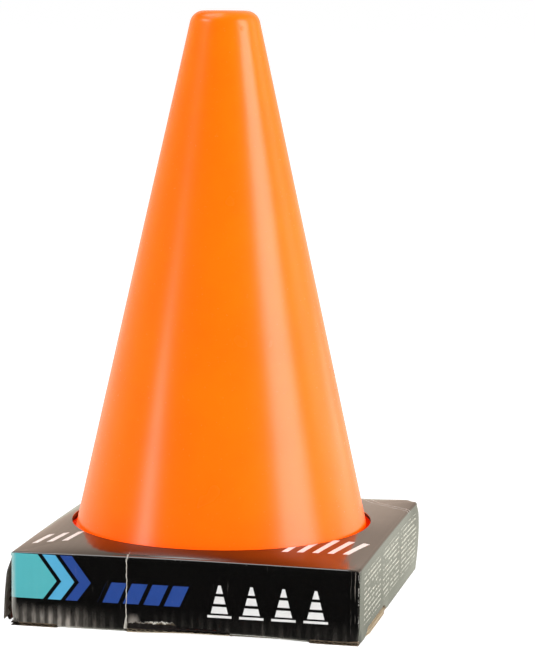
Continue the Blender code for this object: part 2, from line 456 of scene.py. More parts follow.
class Shader:
    """The nodes of a material or of the world."""

    def __init__(self, owner):
        owner.use_nodes = True
        self.tree = owner.node_tree
        self.tree.nodes.clear()

    def make(self, kind, settings=None, inputs=None):
        """Adds a node, with its settings first, then the values or links of its sockets."""
        node = self.tree.nodes.new(kind)
        for key, value in (settings or {}).items():
            setattr(node, key, value)
        for key, value in (inputs or {}).items():
            value = value.socket if isinstance(value, Value) else value
            if isinstance(value, bpy.types.NodeSocket):
                self.tree.links.new(value, node.inputs[key])
            else:
                node.inputs[key].default_value = value
        return node

    def place(self):
        """Where on the object the surface is: the whole vector, then x, y and z."""
        vector = self.make("ShaderNodeTexCoord").outputs["Object"]
        parts = self.make("ShaderNodeSeparateXYZ", inputs={0: vector}).outputs
        return vector, *(Value(self, parts[axis]) for axis in range(3))

    def seen_by(self):
        """1 for what gloss sees, and 1 for what the camera sees, through clear things too."""
        rays = self.make("ShaderNodeLightPath").outputs
        camera, clear = Value(self, rays["Is Camera Ray"]), Value(self, rays["Is Transmission Ray"])
        return Value(self, rays["Is Glossy Ray"]), camera.most(clear)

    def stretch(self, vector, scale):
        return self.make("ShaderNodeMapping", inputs={"Vector": vector, "Scale": scale}).outputs[0]

    def noise(self, vector, scale, detail=3.0, roughness=0.55):
        inputs = {"Vector": vector, "Scale": scale, "Detail": detail, "Roughness": roughness}
        return Value(self, self.make("ShaderNodeTexNoise", inputs=inputs).outputs[0])

    def mix(self, share, low, high):
        """One colour turning into another with share."""
        node = self.make("ShaderNodeMix", {"data_type": "RGBA"}, {0: share, 6: low, 7: high})
        return node.outputs[2]

    def bump(self, height, distance, strength=1.0):
        inputs = {"Height": height, "Distance": distance, "Strength": strength}
        return self.make("ShaderNodeBump", inputs=inputs).outputs[0]

    def finish(self, base, roughness, normal, **constants):
        """The surface shader, with the constants that are the same all over it."""
        inputs = {"Base Color": base, "Roughness": roughness, "Normal": normal}
        inputs.update({key.replace("_", " "): value for key, value in constants.items()})
        surface = self.make("ShaderNodeBsdfPrincipled", inputs=inputs)
        self.make("ShaderNodeOutputMaterial", inputs={0: surface.outputs[0]})


def orange_plastic():
    """Moulded polyethylene: slight clouding, faint draw lines down the side, and a very fine grain.

    A painted glow, an even red emission, keeps it red in the shade too.
    """
    material = bpy.data.materials.new("orange_plastic")
    s = Shader(material)
    vector = s.place()[0]
    clouds = s.noise(vector, 28, 3)
    drawn = s.noise(s.stretch(vector, (1, 1, 0.04)), 420, 2)
    grain = s.noise(vector, 2600, 2)
    speck = s.noise(vector, 900, 4, 0.7).rise(0.66, 0.72)
    base = s.mix(clouds.rise(0.35, 0.7), ORANGE, ORANGE_DEEP)
    base = s.mix(speck * 0.06, base, PAPER)
    rough = 0.24 + clouds * 0.05 + speck * 0.2
    height = drawn * 0.5 + grain * 0.35 + speck * 0.5
    normal = s.bump(height, 0.00002, 0.6)
    # The emission is a painted red glow
    s.finish(base, rough, normal, IOR=1.36, Emission_Color=PAINTED_GLOW, Emission_Strength=PAINTED_GLOW_STRENGTH)
    return material


def laminate(name, print_on, flutes_across):
    """Glossy black laminate over fluted board, with ink laid on by print_on, and wear where it is handled.

    flutes_across is the axis number, 0 or 2, along which the flutes follow each other.
    """
    material = bpy.data.materials.new(name)
    s = Shader(material)
    vector, x, y, z = s.place()
    dust = s.noise(vector, 1500, 4, 0.65).rise(0.6, 0.75)
    cloud = s.noise(vector, 90, 3)
    scratch = s.noise(s.stretch(vector, (1, 1, 0.06)), 1100, 2).rise(0.7, 0.76)
    base = s.mix(cloud * 0.3, BLACK, BLACK_CLOUD)
    base, ink = print_on(s, vector, x, y, z, base)
    edge_x, edge_y = HALF - x.size(), HALF - y.size()
    corner = edge_x.most(edge_y)
    fray = s.noise(vector, 700, 5, 0.7)
    edge_wear = (1 - corner.rise(*EDGE_WEAR)) * fray.rise(0.5, 0.66) * 0.7
    fold_wear = (1 - (z - CARTON_TOP).size().rise(*FOLD_WEAR)) * fray.rise(0.62, 0.74) * 0.25
    wear = edge_wear.most(fold_wear)
    base = s.mix(wear * 0.8, base, PAPER)
    base = s.mix(dust * 0.05 + scratch * 0.06, base, SCUFF_AND_SHEEN)
    ripple = (x, y, z)[flutes_across].wave(FLUTE_PITCH)
    height = ripple * 0.6 + cloud * 0.8 + s.noise(vector, 260, 2) * 0.3 + wear * 1.5
    rough = 0.1 + cloud * 0.08 + dust * 0.12 + wear * 0.5 + ink * 0.03
    s.finish(base, rough, s.bump(height, 0.00004, 0.5), IOR=1.65)
    return material


# Each print takes the shader, a place as a vector and as x, y and z, and the colour under the ink. It gives
# back the colour with its ink, and where the ink lies.

def plain_print(s, vector, x, y, z, base):
    """No ink but the black."""
    return base, x * 0


def front_print(s, vector, x, y, z, base):
    """Chevrons in three blues, a row of slanted dashes, four cone pictograms, and scuffs along the foot with
    a painted sheen on the flute ripples there.
    """
    ink = x * 0
    lean = x + (z - CHEVRON_MIDDLE).size() * CHEVRON_SLOPE
    for low, high, tint in CHEVRONS:
        mask = lean.between(CHEVRON_TIP + low, CHEVRON_TIP + high) * z.between(PRINT_FOOT, FAR)
        base = s.mix(mask, base, tint)
        ink = ink.most(mask)
    slant = x - (z - PRINT_FOOT) * DASH_LEAN
    dash = ((slant - BAND_END) / DASH_PITCH).part().between(DASH_GAP, 1.1, 0.012)
    mask = dash * slant.between(BAND_START, BAND_END) * z.between(PRINT_FOOT, BAND_TOP)
    base = s.mix(mask, base, DEEP_BLUE)
    ink = ink.most(mask)
    icon_x = ((((x - ICON_START) / ICON_PITCH).part() - 0.5) * ICON_PITCH).size()
    icon_z = z - ICON_FOOT
    bands = any_of(icon_z.between(*band) for band in ICON_BANDS)
    cone = (ICON_HALF - icon_z * ICON_TAPER - icon_x).rise(-0.0001, 0.0001) * bands
    plate = (ICON_PLATE_HALF - icon_x).rise(-0.0001, 0.0001) * icon_z.between(*ICON_PLATE)
    mask = cone.most(plate) * x.between(ICON_START, ICON_END)
    base = s.mix(mask, base, WHITE_INK)
    ink = ink.most(mask)
    fibres = s.noise(s.stretch(vector, (1, 1, 0.2)), 380, 4, 0.65)
    patches = s.noise(s.stretch(vector, (1, 1, 0.5)), 120, 3, 0.6)
    # Scuffs along the foot, partly a painted sheen: pale stripes on the flute ripples, strongest low on the
    # left
    ripple_sheen = (x + (patches - 0.5) * 0.0016).wave(FLUTE_PITCH).rise(0.15, 0.95)
    left = 1 - x.rise(*RUB_AND_SHEEN_END)
    low = 1 - (z + (patches - 0.5) * 0.0050).rise(*RUB_AND_SHEEN_TOP)
    rub_and_sheen = low * (0.30 + ripple_sheen * 0.70) * fibres.rise(0.15, 0.7) * patches.rise(0.2, 0.6) * (0.10 + left * 1.1)
    smear = x.between(*SMEAR, 0.0012) * (1 - z.rise(*SMEAR_TOP)) * fibres.rise(0.2, 0.6)
    base = s.mix(rub_and_sheen.most(smear * 0.85), base, SCUFF_AND_SHEEN)
    # Paler towards the left edge of the front
    paler_left = (1 - (x + HALF).rise(*LEFT_PALING)) * (0.25 + fibres.rise(0.3, 0.7) * 0.45)
    base = s.mix(paler_left, base, PAPER)
    crack_x = x + (s.noise(vector, 160, 2) - 0.5) * 0.0009
    crack = any_of(crack_x.between(*ends, 0.00006) for ends in FOLD_CRACKS)
    base = s.mix(crack * fibres.rise(0.4, 0.65) * 0.5, base, SCUFF_AND_SHEEN)
    bow = x.rise(*BOW_RISE) * (1 - x.rise(*BOW_FALL)) * FOOT_BOW
    seam_z = z - bow - SEAM_HEIGHT + (s.noise(vector, 130, 2) - 0.5) * 0.0004
    seam = seam_z.between(-SEAM_HALF, SEAM_HALF, 0.00008)
    base = s.mix(seam * fibres.rise(0.25, 0.45) * 0.8, base, PAPER)
    return base, ink


def side_print(s, vector, x, y, z, base):
    """Three blocks of small grey lines, broken like words, which say nothing."""
    row = (z - LINE_FOOT) / LINE_PITCH
    line = row.part().between(*LINE_SHARE, 0.06) * z.between(*BLOCK_HEIGHTS)
    spread = {0: y * WORD_SCALE, 1: row.whole() * ROW_SHIFT, 2: 0.5}
    place = s.make("ShaderNodeCombineXYZ", inputs=spread).outputs[0]
    words = s.noise(place, 1.0, 1).rise(0.40, 0.47)
    strokes = s.noise(vector, 1500, 2).rise(0.36, 0.58)
    blocks = any_of(y.between(*ends) for ends in BLOCKS)
    mask = line * words * blocks * (0.40 + strokes * 0.50)
    return s.mix(mask, base, GREY_INK), mask


def top_print(s, vector, x, y, z, base):
    """Slanted bars at two corners, quarter rings at a third, and the front print on the front fold."""
    ink = x * 0
    bar_x = x * BAR_TURN[0] + y * BAR_TURN[1]
    bar_y = y * BAR_TURN[0] - x * BAR_TURN[1]
    for low_x, high_x, low_y, high_y in BAR_FIELDS:
        slant = bar_x - (bar_y - low_y) * BAR_LEAN
        stripe = ((slant - low_x) / BAR_PITCH).part().between(0.0, BAR_SHARE, 0.02)
        mask = stripe * slant.between(low_x, high_x) * bar_y.between(low_y, high_y)
        ink = ink.most(mask)
    ring = ((x - HALF) * (x - HALF) + (y - HALF) * (y - HALF)).root()
    rings = any_of(ring.between(*ends) for ends in RINGS)
    ink = ink.most(rings * 0.7)
    base = s.mix(ink, base, WHITE_INK)
    strands = s.noise(s.stretch(vector, (1, 0.2, 1)), 900, 3, 0.7).rise(0.42, 0.6)
    torn = x.between(TEAR - 0.0003, TEAR + 0.0004, 0.0003) * (1 - (y + HALF).rise(0.0025, 0.0065)) * strands
    base = s.mix(torn * 0.7, base, PAPER)
    front, front_ink = front_print(s, vector, x, y, z, base)
    fold = (1 - (y + HALF).rise(0.0003, 0.0007)) * (1 - (z - CARTON_TOP).rise(-0.0007, -0.0004))
    return s.mix(fold, base, front), ink.most(front_ink * fold)


def board_paper(name, light, dark, fibre_scale):
    """Bare paper of the board: cloudy, with short fibres that stand up a little.

    It is darkened near to black along the flap's front edge, and with painted shade over the open flutes of
    the torn foot of the front but for white patches. The raw edges under the tear and at the bare foot of the
    right wall are paler.
    """
    material = bpy.data.materials.new(name)
    s = Shader(material)
    vector, x, y, z = s.place()
    cloud = s.noise(vector, 120, 4, 0.6)
    fibre = s.noise(s.stretch(vector, (1, 0.35, 1)), fibre_scale, 5, 0.7)
    base = s.mix((cloud * 0.6 + fibre * 0.5).rise(0.3, 0.75), dark, light)
    # Darkened near to black along the flap's front edge
    flap = (1 - (y - SIDE_LOW.y).rise(0.0003, 0.0007)) * (1 - (x + z * FLAP_SLOPE).rise(*FLAP_INNER))
    base = s.mix(flap * 0.85, base, KRAFT_NEAR_BLACK)
    # Painted shade over the open flutes under the torn liner, darker in their upper part
    torn = (1 - (y + INSIDE).rise(-0.0002, 0.0004)) * x.between(TEAR, CRUSHED_TO, 0.0010)
    white = any_of(x.between(*patch) for patch in WHITE_PATCHES)
    upper_torn_shade = (1 - white) * z.rise(TORN_HEIGHT - 0.0006, TORN_HEIGHT - 0.0003) * 0.45
    torn_shade = z.between(BOARD, TORN_HEIGHT - 0.0003, 0.0003).most(upper_torn_shade)
    base = s.mix(torn * torn_shade * cloud.rise(0.15, 0.35), base, KRAFT_NEAR_BLACK)
    raw = torn * (1 - z.rise(BOARD - 0.0005, BOARD + 0.0001))
    side = (x - INSIDE).rise(0.0, 0.0008) * y.between(BARE_EDGE[0] - BARE_ENDS, BARE_EDGE[1] + BARE_ENDS)
    base = s.mix(raw.most(side) * 0.85, base, KRAFT_LIGHT)
    s.finish(base, 0.82 + fibre * 0.12, s.bump(fibre + cloud * 0.5, 0.00006, 0.7), IOR=1.4)
    return material


# Cones

def rounded_square(half, corner, angle):
    """How far a rounded square reaches from its middle at each angle: to its side, or to its corner's arc."""
    cos, sin = np.abs(np.cos(angle)), np.abs(np.sin(angle))
    large, small = np.maximum(cos, sin), np.minimum(cos, sin)
    flat = half / large
    centre = half - corner
    room = corner**2 - (centre * (large - small)) ** 2
    return np.where(flat * small > centre, centre * (large + small) + np.sqrt(np.maximum(room, 0)), flat)


def cone_wall(inset):
    """Radius and height down the wall, drawn in by inset: flat top, shoulder arc, cone's side, fillet arc."""
    slack = (1 - math.sin(SIDE_ANGLE)) / math.cos(SIDE_ANGLE)
    shoulder_r, shoulder_z = TIP_RADIUS - SHOULDER * slack, CONE_HEIGHT - SHOULDER
    fillet_r = FOOT_RADIUS - BASE_HEIGHT * math.tan(SIDE_ANGLE) + FILLET * slack
    fillet_z = BASE_HEIGHT + FILLET
    top_r = np.linspace(0.08, 0.92, 8) * shoulder_r
    top_z = np.full(8, CONE_HEIGHT - inset)
    turn = np.linspace(math.pi / 2, SIDE_ANGLE, 14)
    arc_r = shoulder_r + (SHOULDER - inset) * np.cos(turn)
    arc_z = shoulder_z + (SHOULDER - inset) * np.sin(turn)
    turn = np.linspace(math.pi + SIDE_ANGLE, 1.5 * math.pi, 8)
    foot_r = fillet_r + (FILLET + inset) * np.cos(turn)
    foot_z = fillet_z + (FILLET + inset) * np.sin(turn)
    side_r = np.linspace(arc_r[-1], foot_r[0], 72)[1:-1]
    side_z = np.linspace(arc_z[-1], foot_z[0], 72)[1:-1]
    return np.concatenate([top_r, arc_r, side_r, foot_r]), np.concatenate([top_z, arc_z, side_z, foot_z])


def cone_rings(inset, angle):
    """Rings over one side of a cone's wall: down to the fillet, out to the square base and down its edge.

    The round wall swells in and out by a hair, as three slow waves round and along it, and not at its ends.
    """
    radius, height = cone_wall(inset)
    share = height[:, None] / CONE_HEIGHT
    waves = sum(np.sin(turns * angle + runs * share + start) for turns, runs, start in MOULDING_WAVES)
    reach = radius[:, None] + MOULDING_SWELL * waves * np.sin(np.pi * share)
    edge = max(BASE_EDGE - inset, LEAST_EDGE)
    level = BASE_HEIGHT - inset
    outline = BASE_SIDE / 2 - inset - edge
    square = rounded_square(outline, BASE_CORNER - inset - edge, angle)
    out = np.linspace(0, 1, 6)[1:, None]
    ledge = reach[-1] * (1 - out) + square * out
    turn = np.linspace(math.pi / 2, 0, 5)[1:]
    rounding = np.stack([
        rounded_square(outline + grown, BASE_CORNER - inset - edge + grown, angle)
        for grown in edge * np.cos(turn)
    ])
    reaches = np.concatenate([reach, ledge, rounding, rounding[-1:]])
    heights = np.concatenate([height, np.full(5, level), level - edge + edge * np.sin(turn), [0.0]])
    return reaches, heights


def gate_mark(low):
    """A low round pip on the side of the cone, near its top: a flattened dome let into the wall."""
    sin, cos = math.sin(GATE_BEARING), math.cos(GATE_BEARING)
    out = np.array([sin * math.cos(SIDE_ANGLE), -cos * math.cos(SIDE_ANGLE), math.sin(SIDE_ANGLE)])
    across = np.array([cos, sin, 0.0])
    above = np.cross(out, across)
    radius = TIP_RADIUS + (CONE_HEIGHT - GATE_HEIGHT) * math.tan(SIDE_ANGLE)
    flat = np.array([AXIS_X + radius * sin, -radius * cos, low + GATE_HEIGHT])
    turn = np.linspace(0.1, 0.9, 9)[:, None, None] * math.pi
    angle = np.linspace(0, 2 * np.pi, 32, endpoint=False)[None, :, None]
    ring = across * np.cos(angle) + above * np.sin(angle)
    return pod(flat + out * GATE_RISE * np.cos(turn) + GATE_RADIUS * np.sin(turn) * ring)


def make_cone(number, material):
    """One cone as a closed moulding: its outside from the top down, then its inside back up."""
    angle = np.linspace(0, 2 * np.pi, 320, endpoint=False)
    outer, outer_z = cone_rings(0.0, angle)
    inner, inner_z = cone_rings(CONE_WALL, angle)
    reach = np.concatenate([outer, inner[::-1]])
    height = np.concatenate([outer_z, inner_z[::-1]])[:, None] + np.zeros_like(angle)
    node = f"cone_{number}"
    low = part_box(node)[0].z
    rings = np.stack([AXIS_X + reach * np.cos(angle), reach * np.sin(angle), low + height], axis=-1)
    make_piece(f"{node}_moulding", [pod(rings), gate_mark(low)], [material], node)


# Carton

def dented(points):
    """Pushes corners of the carton in or out, each push fading as a bell curve of the distance."""
    for place, push, reach in DENTS:
        distance = np.sum((points - np.array(place)) ** 2, axis=-1, keepdims=True)
        points = points + np.array(push) * np.exp(-distance / reach**2)
    return points


def edge_rise(along):
    """How far the top's edge bows up at a place along a side, most in the middle."""
    return EDGE_BOW * np.cos(np.pi / 2 * np.clip(along / HALF, -1, 1))


def panel_grid(rows_in, drop, columns=176):
    """Points of the top panel from the hole's rim out to the fold and down to the crease, at a depth of drop.

    The crown's cover at a place is the product, over x and y, of one minus the square of the share of the way
    out from the middle, over what that is at the rim: nothing at the edges, and one at the rim. The height
    rises from the bowed edge to the crown mostly as the cover does, and the rest of it, ROLL_SHARE, sooner:
    as one minus a power of what is missing from the cover.
    """
    step = np.linspace(-1, 1, columns, endpoint=False)
    one = np.ones(columns)
    square = np.concatenate([
        np.stack([step, -one], axis=-1), np.stack([one, step], axis=-1),
        np.stack([-step, one], axis=-1), np.stack([-one, -step], axis=-1),
    ])
    bow = edge_rise(np.concatenate([step, step, -step, -step]) * HALF)
    edge = square * (HALF - FOLD)
    toward = edge - np.array([AXIS_X, 0.0])
    rim = np.array([AXIS_X, 0.0]) + toward / np.linalg.norm(toward, axis=-1, keepdims=True) * HOLE_RADIUS
    share = np.linspace(1, 0, rows_in)[:, None, None]
    flat = rim * share + edge * (1 - share)
    cover = np.prod(1 - (flat / (HALF - FOLD)) ** 2, axis=-1)
    cover = cover / cover[0]
    lift = bow + (CROWN - bow) * (cover + ROLL_SHARE * (1 - cover - (1 - cover) ** ROLL_POWER))
    face = np.concatenate([flat, (CARTON_TOP - drop + lift)[..., None]], axis=-1)
    turn = np.linspace(0, math.pi / 2, 7)[1:, None, None]
    bend = FOLD - drop
    around = square * (HALF - FOLD + bend * np.sin(turn))
    fold_z = CARTON_TOP - FOLD + bend * np.cos(turn[..., 0]) + bow
    fold = np.concatenate([around, fold_z[..., None]], axis=-1)
    foot = fold[-1:].copy()
    foot[..., 2] = CREASE + bow
    return dented(np.concatenate([face, fold, foot]))


def make_top_panel(print_material, paper, kraft):
    """The holed panel in its three layers. The wavy sheet is made where it shows, round the hole's rim."""
    outer = slab(panel_grid(30, 0.0), panel_grid(30, LINER), (0, 1, 1), around=True)
    level = panel_grid(14, BOARD - LINER)[:13]
    under = level - np.array([0.0, 0.0, LINER])
    inner = slab(level, under, (2, 2, 2), around=True)
    angle = np.linspace(0, 2 * np.pi, 1536, endpoint=False)
    reach = np.linspace(*RIM_SHEET, 3)[:, None]
    x = AXIS_X + (HOLE_RADIUS + reach) * np.cos(angle)
    y = (HOLE_RADIUS + reach) * np.sin(angle)
    swing = FLUTE_SWING * fluted(x)
    middle = CARTON_TOP + CROWN - RIM_SLOPE * reach - BOARD / 2 + swing
    face = np.stack([x, y, middle + FLUTE_SHEET / 2], axis=-1)
    back = np.stack([x, y, middle - FLUTE_SHEET / 2], axis=-1)
    layers = [outer, inner, slab(face, back, (2, 2, 2), around=True)]
    make_piece("top_panel_board", layers, [print_material, paper, kraft], "top_panel")


class Face:
    """The outer face of a board: an origin on it, and unit vectors along it, up it and out of it."""

    def __init__(self, origin, along, up, out):
        vectors = (np.array(vector, float) for vector in (origin, along, up, out))
        self.origin, self.along, self.up, self.out = vectors

    def points(self, along, up, out):
        """World points for distances along, up and out, which may be arrays of one shape."""
        along, up, out = np.broadcast_arrays(along, up, out)
        beside = self.origin + along[..., None] * self.along
        return beside + up[..., None] * self.up + out[..., None] * self.out

    def wrapped(self, along, up, out, half):
        """The same, carried round a corner at each end: flat, then a quarter circle, then straight back."""
        along, up, out = np.broadcast_arrays(along, up, out)
        past = np.maximum(np.abs(along) - (half - CORNER_FOLD), 0)
        turn = np.minimum(past / CORNER_FOLD, np.pi / 2)
        back = np.maximum(past - CORNER_FOLD * np.pi / 2, 0)
        sideways = np.minimum(np.abs(along), half - CORNER_FOLD) + (CORNER_FOLD + out) * np.sin(turn)
        depth = out * np.cos(turn) - CORNER_FOLD * (1 - np.cos(turn)) - back
        return self.points(np.sign(along) * sideways, up, depth)


def fluted(place):
    """A cosine that repeats with the flutes."""
    return np.cos(2 * np.pi * place / FLUTE_PITCH)


def levels(low, high, count, power=1):
    """Count rows of heights from low to high, which a power above one draws together towards low."""
    return low + (high - low) * np.linspace(0, 1, count)[:, None] ** power


def steps(start, end, pitch):
    """Even places from start to end, about pitch apart."""
    return np.linspace(start, end, max(2, int(round((end - start) / pitch)) + 1))


def board_shells(
    face, ends, heights, flutes_up,
    shape=None, foot=None, liner_foot=None, half=None, finish=lambda points: points,
):
    """The three layers of a board: the printed liner, the wavy sheet, and the inner liner.

    ends and heights give its extent along and up the face. flutes_up says which way the flutes run. shape
    gives how far the printed liner stands out at each place. foot and liner_foot give where the board and the
    printed liner end below, along the board. half is given where the printed liner is carried round the
    board's ends. finish moves the finished points. The wavy sheet is a cosine, crushed and pushed about where
    the liner is torn off it.
    """
    def layer(place, along, up, out, thickness, kinds=(2, 2, 2)):
        return slab(finish(place(along, up, out)), finish(place(along, up, out - thickness)), kinds)

    low, high = heights
    foot = foot or (lambda along: np.full_like(along, low))
    liner_foot = liner_foot or foot
    shape = shape or (lambda along, up: 0 * along)
    top = high if callable(high) else (lambda along: np.full_like(along, high))
    around = half and half - CORNER_FOLD + CORNER_FOLD * math.pi / 2
    reach = ends if half is None else (-around, around)
    along = steps(*reach, FLUTE_PITCH / 10)[None, :]
    up = levels(liner_foot(along), top(along), 36, 1.4)
    place = face.points if half is None else functools.partial(face.wrapped, half=half)
    shells = [layer(place, along, up, shape(along, up), LINER, (0, 1, 1))]
    if flutes_up:
        along = steps(*ends, FLUTE_PITCH / 14)[None, :]
        up = levels(foot(along), top(along), 20, 2.2)
        wave = fluted(along) + 0 * up
    else:
        along = steps(*ends, 0.006)[None, :]
        count = int((float(top(along).max()) - float(foot(along).min())) / FLUTE_PITCH * 14)
        up = levels(foot(along), top(along), count)
        wave = fluted(up)
    torn_off = liner_foot(along) - foot(along)
    open_core = swell(torn_off, 0.0002, 0.0012) * (1 - swell(up, low, low + TORN_HEIGHT))
    crush = 1 - 0.45 * open_core + 0.25 * open_core * ragged(along + 3 * up, 0.004)
    lean = 0.00012 * open_core * ragged(along - 2 * up, 0.0023)
    middle = -BOARD / 2 + FLUTE_SWING * wave * crush + lean + np.minimum(shape(along, up), 0)
    shells.append(layer(face.points, along, up, middle + FLUTE_SHEET / 2, FLUTE_SHEET))
    along = steps(*ends, 0.0015)[None, :]
    up = levels(foot(along), top(along), 16, 2.6)
    inner = np.minimum(shape(along, up), 0) - BOARD + LINER
    shells.append(layer(face.points, along, up, inner, LINER))
    return shells


def bridged(along):
    """1 where the front wall's liner runs on under the carton."""
    return sum(span(along, low, high, 0.0012) for low, high in BRIDGES)


def foot_bow(along):
    """How far the carton's front lower edge stands up off the table, most a little right of its middle."""
    return FOOT_BOW * swell(along, *BOW_RISE) * (1 - swell(along, *BOW_FALL))


def front_foot(along):
    """Lower end of the front wall's board, a hair above the bottom panel."""
    return FRONT_FOOT + foot_bow(along) + 0.00003 * ragged(along, 0.011)


def front_liner_foot(along):
    """Lower end of the front wall's printed liner: torn high beside the tear line, low where it bridges."""
    torn_edge = TORN_HEIGHT + 0.0006 * ragged(along, 0.0052)
    crushed_edge = CRUSHED_HEIGHT + 0.0004 * ragged(along, 0.009)
    torn = span(along, TEAR, TORN_TO, 0.0026) * (torn_edge - FRONT_FOOT)
    crushed = span(along, TORN_TO, CRUSHED_TO, 0.0026) * (crushed_edge - FRONT_FOOT)
    share = np.clip((CRUSHED_TO - along) / (CRUSHED_TO - TORN_TO), 0, 1)
    return front_foot(along) + torn + crushed * share - bridged(along) * (FRONT_FOOT - BRIDGE_FOOT)


def front_shape(along, up):
    """How far the front's liner stands out.

    A cosine over the flutes that is larger at the lower left, less a quarter circle that bends the liner
    under at the bridges, and less a slight sag along the torn and crushed stretch.
    """
    left = 1 - swell(along, *RIPPLE_END)
    low = 1 - swell(up, *RIPPLE_TOP)
    ripple = (RIPPLE * left * low + FLUTE_SHOW) * fluted(along)
    under = np.clip(BRIDGE_BEND + foot_bow(along) - up, 0, BRIDGE_BEND - BRIDGE_FOOT) * bridged(along)
    bend = BRIDGE_BEND - np.sqrt(BRIDGE_BEND**2 - under**2)
    sag = SAG * span(along, TEAR, CRUSHED_TO, 0.012) * (1 - swell(up, 0.004, 0.012))
    return ripple - bend - sag


def tear_strip():
    """The paper standing up along the tear: a narrow strip that wanders, and widens and curls at its foot."""
    up = np.linspace(TEAR_FOOT, CREASE + 0.0011, 110)[:, None]
    across = np.linspace(-1, 1, 7)[None, :]
    share = (up - up[0]) / (up[-1] - up[0])
    centre = TEAR - 0.0004 * (1 - share) ** 3 + 0.00020 * ragged(up, 0.016)
    width = 0.00015 + 0.00007 * ragged(up, 0.007) + 0.00045 * (1 - swell(up, TEAR_FOOT, 0.0085))
    along = centre + across * width
    out = 0.00010 + 0.00012 * (1 - across**2) + 0.0003 * (1 - swell(up, 0.001, 0.008)) * (0.4 - across)
    return slab(FRONT.points(along, up, out), FRONT.points(along, up, out - 0.00012), (1, 1, 1))


def torn_line():
    """White paper along the torn edge of the liner: a thin uneven roll, thicker at two spots."""
    along = np.linspace(TEAR + 0.0008, TORN_TO - 0.0004, 130)[:, None]
    turn = np.linspace(0, 2 * np.pi, 10, endpoint=False)[None, :]
    bulge = sum(np.exp(-((along - spot) / reach) ** 2) for spot, reach in WHITE_SPOTS)
    thick = (0.00013 + 0.00005 * ragged(along, 0.0031)) * (1 + 2.0 * bulge)
    ends = swell(along, along[0], along[0] + 0.001) - swell(along, along[-1] - 0.001, along[-1])
    thick = thick * np.sqrt(np.clip(ends, 0.01, 1))
    up = front_liner_foot(along) + thick * np.sin(turn)
    out = 0.00002 + thick * 0.9 * np.cos(turn)
    return pod(FRONT.points(along, up, out), 1)


def corner_scraps():
    """Frayed paper at the lower left corner: small leaves that fan out of the wall's end."""
    scraps = []
    for index in range(SCRAPS):
        tall = np.linspace(0, 1, 6)[:, None]
        wide = np.linspace(-1, 1, 4)[None, :]
        lean = 0.0005 * tall * math.cos(index * 2.1)
        along = SCRAP_START + SCRAP_STEP * index + wide * 0.00022 * (1 - 0.6 * tall) - lean
        up = 0.0020 + 0.0003 * (index % 3) + (0.0008 + 0.0006 * abs(math.sin(index * 1.9))) * (tall - 0.4)
        out = 0.00006 + 0.0004 * tall**1.5 * abs(math.sin(index * 2.7)) + 0.00005 * wide
        scraps.append(slab(FRONT.points(along, up, out), FRONT.points(along, up, out - 0.00010), (1, 1, 1)))
    return scraps


def flap_shape(along, up):
    """The loose wall turns outwards below its crease and is bowed along its height."""
    share = np.clip(-up / (CREASE - WALL_FOOT), 0, 1)
    bow = FLAP_STEP * swell(share, 0, 0.3) + FLAP_BOW * np.sin(np.pi * share)
    return bow + FLUTE_SHOW * fluted(up)


def side_shape(along, up):
    """The right wall bulges a little towards its back end, and where the bottom's edge is bare."""
    back = SIDE_BULGE * swell(along, 0.0, HALF) * np.sin(np.pi * np.clip(up / CREASE, 0, 1))
    return back + BARE_BULGE * span(along, *BARE_EDGE, 0.020) * (1 - swell(up, 0.0, 0.012))


def side_liner_foot(along):
    """Lower end of the right wall's printed liner, which runs over the bottom's edge but for one stretch."""
    bare = span(along, *BARE_EDGE, 2 * BARE_ENDS)
    return SIDE_FOOT + (BARE_HEIGHT - SIDE_FOOT) * bare + (0.0001 + 0.0003 * bare) * ragged(along, 0.009)


def notched(along):
    """Front edge of the bottom panel, set back where the front wall's liner is bent under."""
    return -HALF + 0.0001 + BRIDGE_NOTCH * bridged(along) + 0.0001 * ragged(along, 0.008)


FRONT = Face((0, -HALF, 0), (1, 0, 0), (0, 0, 1), (0, -1, 0))
BACK = Face((0, HALF, 0), (-1, 0, 0), (0, 0, 1), (0, 1, 0))
RIGHT = Face((HALF, 0, 0), (0, 1, 0), (0, 0, 1), (1, 0, 0))
UNDER = Face((0, 0, 0), (1, 0, 0), (0, 1, 0), (0, 0, -1))


def left_face():
    """Outer face of the loose wall, which leans out from its crease as its node does."""
    flare = math.asin((-HALF - FLAP_LOW.x) / (FLAP_HIGH.z - WALL_FOOT))
    sin, cos = math.sin(flare), math.cos(flare)
    return Face((-HALF, 0, FLAP_HIGH.z), (0, -1, 0), (sin, 0, cos), (-cos, 0, sin))


def make_walls(front_ink, side_ink, plain_up, plain_across, paper, kraft):
    """The four walls. Flutes stand upright in the front and back, and lie level in the sides."""
    top = (WALL_FOOT, lambda along: CREASE + edge_rise(along))
    ends = (-HALF + CORNER_FOLD, HALF - CORNER_FOLD)
    shells = board_shells(
        FRONT, ends, top, True, front_shape, front_foot, front_liner_foot, half=HALF, finish=dented)
    shells += [tear_strip(), torn_line(), *corner_scraps()]
    make_piece("front_wall_board", shells, [front_ink, paper, kraft], "front_wall")
    shells = board_shells(BACK, ends, top, True, half=HALF, finish=dented)
    make_piece("back_wall_board", shells, [plain_up, paper, kraft], "back_wall")
    shells = board_shells(
        RIGHT, (-INSIDE - WALL_LAP, SIDE_HIGH.y), top, False, side_shape,
        liner_foot=side_liner_foot, finish=dented)
    make_piece("right_wall_board", shells, [side_ink, paper, kraft], "right_wall")
    length = FLAP_HIGH.z - WALL_FOOT
    shells = board_shells(left_face(), (SIDE_LOW.y, SIDE_HIGH.y), (-length, 0.0), False, flap_shape)
    make_piece("left_wall_board", shells, [plain_across, paper, kraft], "left_wall")


